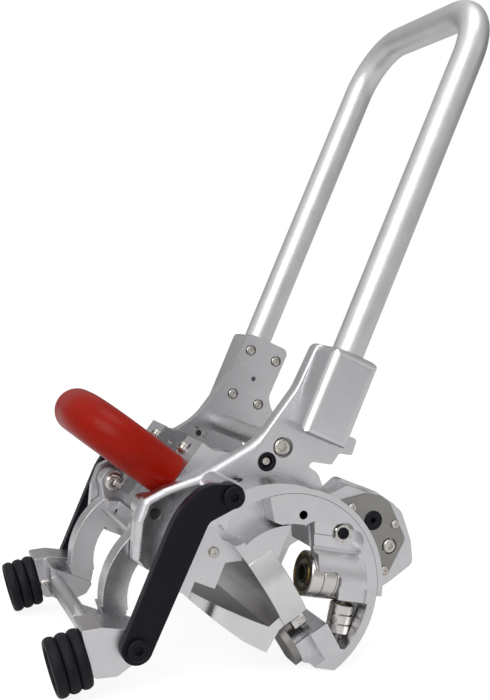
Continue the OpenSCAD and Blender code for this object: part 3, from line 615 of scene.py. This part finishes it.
# Red bar and its brackets. A 36 mm tube bent to a U and powder coated red stands on two milled brackets
# inside the plates' left edges. Two button screws show on each bracket.
for node in ("bar_bracket_front", "bar_bracket_rear"):
    machined(node, blasted, edge=0.6, steps=3)
red_coat = metal_look("red_powder_coat", (0.25, 0.006, 0.001), 0.0, 0.34, 0.12, 500, tone=0.08)
red_shader = nodes_of(red_coat)[2]
red_shader.inputs["Specular IOR Level"].default_value = 0.06
red_shader.inputs["Coat Weight"].default_value = 0.10
red_shader.inputs["Coat Roughness"].default_value = 0.25
bar_tilt = math.radians(165.5)
bar_d, bar_wall, bar_reach, bar_span, bar_bend = 36, 3, 74.0, 98.0, 40.0
bar_foot = (-87, 46.9)
across, out = u_path(0.0, bar_reach, bar_span, bar_bend)
bar_route = placed(bar_foot[0] + out * math.cos(bar_tilt), across, bar_foot[1] + out * math.sin(bar_tilt))
bar_side = heading(-math.sin(bar_tilt), 0, math.cos(bar_tilt))
skin("red_bar_tube", [bent_tube(bar_route, bar_side, bar_d // 2 * MM, bar_wall * MM)], red_coat, "red_bar")
bar_out = heading(math.cos(bar_tilt), 0, math.sin(bar_tilt))
bar_down = -bar_side
bracket_places = [
    (placed(bar_foot[0], 0, bar_foot[1]) + MM * (v * bar_down + u * np.array([0, 1.0, 0])), bar_out)
    for u, v in ((-49, -28), (49, -28), (-39.2, 24.5), (39.2, 24.5))]
screws("bracket_heads", bracket_places, 5.2, 3.8, 2.55, 9, 2.0, lobed(), stainless, "bracket_screws")

# Gate. The front and rear rotors are milled and bead blasted. The two full-width guide fins between them
# are machined finer, so they are brighter, with a grain along their length. One small screw shows on each
# rotor.
turned_alloy = metal_look("turned_alloy", (0.66, 0.66, 0.665), 1.0, 0.20, 0.06, 1600, (1, 0.02, 1),
                          tone=0.04)
for node in ("gate_rotor_front", "gate_rotor_rear"):
    machined(node, blasted, edge=0.5, steps=2)
for node in ("upper_guide_fin", "lower_guide_fin"):
    machined(node, turned_alloy, edge=0.5, steps=2)
rotor_screw_spot, low_face = (-50, 10), face - 14
screws("fin_heads", side_places([rotor_screw_spot], low_face), 4, 2.4, 2, 9, 1.6, lobed(), stainless,
       "fin_screws")

# Swing arms. They are milled from aluminium plate with widely broken edges, joined by a yoke and the round
# carrier bar, and hang on two stainless pivot screws that go in from between the arms. The carriers on them
# hold the buffers.
for node in ("arm_front", "arm_rear", "arm_yoke", "carrier_front", "carrier_rear", "carrier_bar"):
    machined(node, blasted, edge=0.9, steps=3)
arm_pivot = (-96, 19)
pivots = [(placed(arm_pivot[0], s * 49.7, arm_pivot[1]), -s * out_way) for s in (1, -1)]
screws("arm_pivot_heads", pivots, 8, 4.7, 5, 31.2, 3.2, lobed(), stainless, "arm_pivot_screws")
machined("yoke_screws", stainless, edge=0.3)
machined("carrier_screws", stainless, edge=0.3)

# Buffers. Rolls of moulded black rubber with three ribs. A bolt holds each one to its carrier, with its
# head in the roll's end.
buf_turn = math.radians(217.3)
buf_way = heading(math.cos(buf_turn), 0, math.sin(buf_turn))
buf_x, buf_d, buf_z = -111, 104, -90


def buffer_rows(radius=22.0, length=26.0, ribs=3, swell=2.5):
    """Along the axis the radius is the core plus the swell times the square root of half a sine per rib."""
    t = np.linspace(0, 1, 61)
    bulge = np.sqrt(np.abs(np.sin(math.pi * ribs * t)))
    core = radius - swell
    rows = [(4, 0), (core - 1.5, 0)] + list(zip(core + swell * bulge * 0.98, length * t))
    rows += [(core - 1.2, length), (core - 1.8, length - 0.6)]
    return rows + [(core - 2.4, length - 2), (4, length - 2)]


for s, side_name in sides:
    roll = turned(placed(buf_x, s * buf_d, buf_z), buf_way, buffer_rows())
    skin("buffer_block_" + side_name, [(roll, True)], moulded, "buffer_" + side_name, angle=50)
bolt_rows = [(0, 21.5), (2.2, 21.5), (2.2, 24.0), (5.6, 24.0), (6.2, 23.4)]
bolt_rows += [(6.2, 21.6), (3.95, 21.6), (3.95, 0), (0, 0)]
bolts = [turned(placed(buf_x, s * buf_d, buf_z), buf_way, bolt_rows, keyed(9, 1, 3)) for s in (1, -1)]
skin("buffer_bolts", [(rows, False) for rows in bolts], dark_steel, "buffer_screws")

# Links. Cranked black bars, one on each side, milled from plate. Each swings on a black cap screw in the
# rotor and on one in the carrier.
for node in ("link_front", "link_rear"):
    machined(node, black_steel_and_shade, edge=0.7, steps=3)


def cap_rows(head, height, shank, length):
    """A cap screw's section from the recess floor over the chamfered head and down the shank."""
    return [(0, height - 2.6), (3.0, height - 2.6), (3.0, height - 0.2), (3.3, height), (head - 0.7, height),
            (head, height - 0.7), (head, 0), (shank, 0), (shank, -length), (0, -length)]


cap_plan = keyed(10, 1, 4)
cap_head_r, cap_head_h, link_face = 8.0, 3.7, 127.6
for name, spot, shank, length, node in (
    ("rotor_pin_caps", (-62, 54), 4.5, 27, "rotor_pins"),
    ("carrier_pin_caps", (-85, -69), 4.9, 24, "carrier_pins"),
):
    rows = cap_rows(cap_head_r, cap_head_h, shank, length)
    caps = [(turned(c, w, rows, cap_plan), False) for c, w in side_places([spot], link_face)]
    skin(name, caps, black_steel_and_shade, node)


# Small fittings. A black set screw in the drum's rim, a black plug in the rear plate and a domed stud on
# the rear carrier lie where the photograph shows dark or domed spots. What they are is a guess.
def finished(pieces):
    """The world vertices and the triangles of the pieces as their modifiers leave them."""
    bpy.context.view_layer.update()
    graph = bpy.context.evaluated_depsgraph_get()
    points, faces, start = [], [], 0
    for piece in pieces:
        mesh = piece.evaluated_get(graph).to_mesh()
        mesh.calc_loop_triangles()
        at = np.empty(len(mesh.vertices) * 3)
        mesh.vertices.foreach_get("co", at)
        corners = np.empty(len(mesh.loop_triangles) * 3, int)
        mesh.loop_triangles.foreach_get("vertices", corners)
        points.append(at.reshape(-1, 3))
        faces.append(corners.reshape(-1, 3) + start)
        start += len(mesh.vertices)
        piece.evaluated_get(graph).to_mesh_clear()
    return np.vstack(points), np.vstack(faces)


def tree_of(pieces):
    """A BVH tree of the finished pieces."""
    points, faces = finished(pieces)
    return BVHTree.FromPolygons(points.tolist(), faces.tolist())


def where_seen(name, carriers):
    """The place on the carriers that shows at an image point, and the outward way there. The ray runs along
    (x - W/2 + shift_x L, H/2 - y + shift_y L, -L lens / sensor_width) in the camera's axes, L being the
    larger side. A ray that misses them takes the place nearest to it, from 0.5 to 1.5 m away."""
    x, y = IMAGE_POINTS[name]
    size = max(IMAGE_W, IMAGE_H)
    view = camera.data
    local = Vector((x - IMAGE_W / 2 + view.shift_x * size, IMAGE_H / 2 - y + view.shift_y * size,
                    -size * view.lens / view.sensor_width))
    ray = (camera.matrix_world.to_3x3() @ local).normalized()
    tree = tree_of([bpy.data.objects[c] for c in carriers])
    place, outward = tree.ray_cast(camera_place, ray)[:2]
    if place is None:
        near = [tree.find_nearest(camera_place + ray * t) for t in np.linspace(0.5, 1.5, 400)]
        place, outward = min(near, key=lambda hit: hit[3])[:2]
    return np.array(place), np.array(outward)


set_screw_rows = [(0, -0.8), (2.2, -0.8), (2.2, 0.5), (4.2, 0.6), (4.6, 0.3), (4.6, -1.9), (0, -1.9)]
place, outward = where_seen("drum_set_screw", ["gate_rotor_front_cut"])
skin("drum_set_screw", [(turned(place, outward, set_screw_rows, keyed(7, 1, 3)), False)], black_steel_and_shade,
     "gate_rotor_front", replace=False)
plug_rows = [(0, 0.1), (1.6, 0.1), (2.4, 0.35), (2.8, 0), (2.8, -1.0), (0, -1.0)]
place, outward = where_seen("plate_plug", ["side_plate_rear_cut"])
skin("plate_plug", [(turned(place, outward, plug_rows), False)], seal_black, "side_plate_rear", replace=False)
dome = np.linspace(0, math.pi / 2, 7)
stud_dome_rows = [(3.0 * math.sin(t), 1.9 * math.cos(t)) for t in dome] + [(3.0, -0.6), (0, -0.6)]
place, outward = where_seen("carrier_stud", ["carrier_rear_cut"])
skin("carrier_stud", [(turned(place, outward, stud_dome_rows), False)], stainless, "carrier_rear",
     replace=False)


# What shows. Each image point is held against the finished pieces: the vertices of the named piece that lie
# near its place and that the camera sees are put in the picture, and their middle is set against the point.
def pictured(points):
    """The picture points of places: sideways and upwards over depth in the camera's axes, times the lens."""
    back = np.array(camera.matrix_world.inverted())
    local = np.asarray(points) @ back[:3, :3].T + back[:3, 3]
    size = max(IMAGE_W, IMAGE_H) * lens_per_sensor
    return np.stack([IMAGE_W / 2 - size * local[:, 0] / local[:, 2],
                     IMAGE_H / 2 + size * local[:, 1] / local[:, 2]], axis=-1)


no_hit = 1e9


def lit_up(points, tree):
    """True for the places that the camera sees: the first hit of the tree lies within 0.4 mm of them."""
    ways = [Vector(p) - camera_place for p in points]
    return np.array([(tree.ray_cast(camera_place, w)[3] or no_hit) > w.length - 0.4 * MM for w in ways])


solid = [o for o in scene.objects if o.type == "MESH" and o is not floor and not o.hide_render]
whole = tree_of(solid)
outline = pictured(finished(solid)[0])
shown = {
    "left_edge": [outline[:, 0].min() - IMAGE_POINTS["left_edge"][0], 0.0],
    "right_edge": [outline[:, 0].max() - IMAGE_POINTS["right_edge"][0], 0.0],
    "top_edge": [0.0, outline[:, 1].min() - IMAGE_POINTS["top_edge"][1]],
    "bottom_edge": [0.0, outline[:, 1].max() - IMAGE_POINTS["bottom_edge"][1]],
}
# A piece, its place in side frame millimetres, and how far from there its vertices count.
for name, piece, place, reach in (
    ("rod_screw", "tie_rod_heads", (-20, 82, 101), 12),
    ("grommet", "grommet_rings", (-28, 83, 86), 12),
    ("link_bolt_top", "rotor_pin_caps", (-62, 131, 54), 12),
    ("link_bolt_low", "carrier_pin_caps", (-85, 131, -69), 12),
    ("cover_bush", "cover_bush_rings", (69, 98, 75), 12),
    ("cover_pin", "lower_rod_heads", (91, 98, 61), 12),
    ("block_nut", "block_nut_rings", (38, 116, 58), 12),
    ("front_buffer", "buffer_block_front", (-111, 104, -90), 60),
    ("rear_buffer", "buffer_block_rear", (-111, -104, -90), 60),
    ("drum_set_screw", "drum_set_screw", (-62, 81, 79), 40),
    ("plate_plug", "plate_plug", (-28, -70, 86), 200),
    ("carrier_stud", "carrier_stud", (-97, -84, -70), 200),
):
    near = finished([bpy.data.objects[piece]])[0]
    near = near[np.linalg.norm(near - placed(*place), axis=1) < reach * MM]
    near = near[lit_up(near, whole)] if len(near) else near
    if len(near):
        spots = pictured(near)
        middle = (spots.min(axis=0) + spots.max(axis=0)) / 2
        shown[name] = (middle - IMAGE_POINTS[name]).tolist()
for name, place in (("pin_hole", (0, 118, 60)), ("tube_entry", (-6, 96.5, 187))):
    shown[name] = (pictured([placed(*place)])[0] - IMAGE_POINTS[name]).tolist()
shown = {name: [round(float(v), 1) for v in gap] for name, gap in shown.items()}
